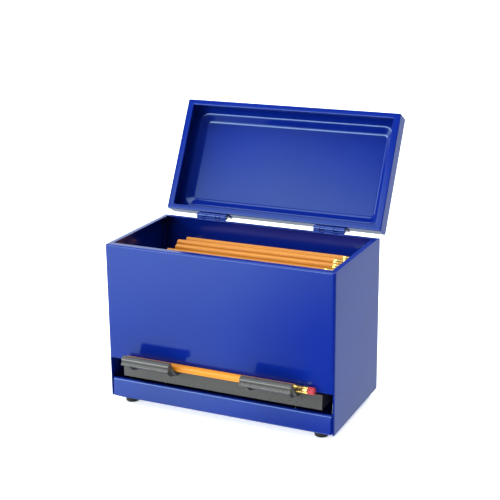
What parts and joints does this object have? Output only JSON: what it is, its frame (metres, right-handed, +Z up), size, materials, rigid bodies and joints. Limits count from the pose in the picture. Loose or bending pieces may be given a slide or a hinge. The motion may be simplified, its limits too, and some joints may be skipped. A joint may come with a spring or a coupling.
{
  "type": "pencil dispenser",
  "caption": "Table-top sheet-steel pencil dispenser: a filled hopper under a hinged open lid, with a press-down rocker that presents a pencil at a front slot.",
  "frame": {"origin": "on the surface the feet stand on, under the middle of the bounding box, open lid included", "axes": "+Z up, +Y from the slotted front towards the hinges at the back, +X to the right seen from the front"},
  "size_m": [0.2286, 0.2122, 0.2676],
  "materials": {
    "blue_powder_coat": "semi-gloss ultramarine powder coat on steel sheet",
    "grey_moulded_plastic": "satin moulded, mid grey",
    "zinc_plated_steel": "bright zinc plate",
    "black_rubber": "matt moulded",
    "pencil_lacquer": "glossy yellow-orange lacquer on cedar",
    "graphite": "dull graphite",
    "ferrule_brass": "bright crimped ferrule with dark red bands",
    "eraser_rubber": "matt, dusty"
  },
  "bodies": {
    "body": {"body_shell": "blue_powder_coat", "back_panel": "blue_powder_coat", "base_pan": "blue_powder_coat", "hopper_ramp": "blue_powder_coat", "hinge_body_leaf_left": "blue_powder_coat", "hinge_body_leaf_right": "blue_powder_coat", "rocker_axle": "zinc_plated_steel", "pivot_bracket_left": "zinc_plated_steel", "pivot_bracket_right": "zinc_plated_steel", "axle_clip_left": "zinc_plated_steel", "axle_clip_right": "zinc_plated_steel", "return_spring_left": "zinc_plated_steel", "return_spring_right": "zinc_plated_steel", "hinge_pin_left": "zinc_plated_steel", "hinge_pin_right": "zinc_plated_steel", "rivet_body_left_1": "zinc_plated_steel", "rivet_body_left_2": "zinc_plated_steel", "rivet_body_right_1": "zinc_plated_steel", "rivet_body_right_2": "zinc_plated_steel", "foot_screw_front_left": "zinc_plated_steel", "foot_screw_front_right": "zinc_plated_steel", "foot_screw_back_left": "zinc_plated_steel", "foot_screw_back_right": "zinc_plated_steel", "foot_front_left": "black_rubber", "foot_front_right": "black_rubber", "foot_back_left": "black_rubber", "foot_back_right": "black_rubber", "pencil_row_01": "pencil_lacquer", "pencil_row_02": "pencil_lacquer", "pencil_row_03": "pencil_lacquer", "pencil_row_04": "pencil_lacquer", "pencil_row_05": "pencil_lacquer", "pencil_row_06": "pencil_lacquer", "pencil_row_07": "pencil_lacquer", "pencil_row_08": "pencil_lacquer", "pencil_row_09": "pencil_lacquer", "pencil_row_10": "pencil_lacquer"},
    "lid": {"lid_pan": "blue_powder_coat", "hinge_lid_leaf_left": "blue_powder_coat", "hinge_lid_leaf_right": "blue_powder_coat", "rivet_lid_left_1": "zinc_plated_steel", "rivet_lid_left_2": "zinc_plated_steel", "rivet_lid_right_1": "zinc_plated_steel", "rivet_lid_right_2": "zinc_plated_steel"},
    "rocker": {"rocker": "grey_moulded_plastic"},
    "presented_pencil": {"pencil_barrel": "pencil_lacquer", "pencil_lead": "graphite", "pencil_ferrule": "ferrule_brass", "pencil_eraser": "eraser_rubber"}
  },
  "joints": [
    {"name": "lid_hinge", "type": "hinge", "parent": "body", "child": "lid", "pos_m": [0, 0.0369, 0.1614], "axis": [1, 0, 0], "range_deg": [0, 117.66]},
    {"name": "rocker_press", "type": "hinge", "parent": "body", "child": "rocker", "pos_m": [0, -0.0501, 0.035], "axis": [1, 0, 0], "range_deg": [0, 14], "stiffness_Nm_per_rad": 0.12, "springref_deg": -28.65},
    {"name": "pencil_lift", "type": "slide", "parent": "rocker", "child": "presented_pencil", "axis": [0, 0, 1], "range_m": [0, 0.05]}
  ]
}
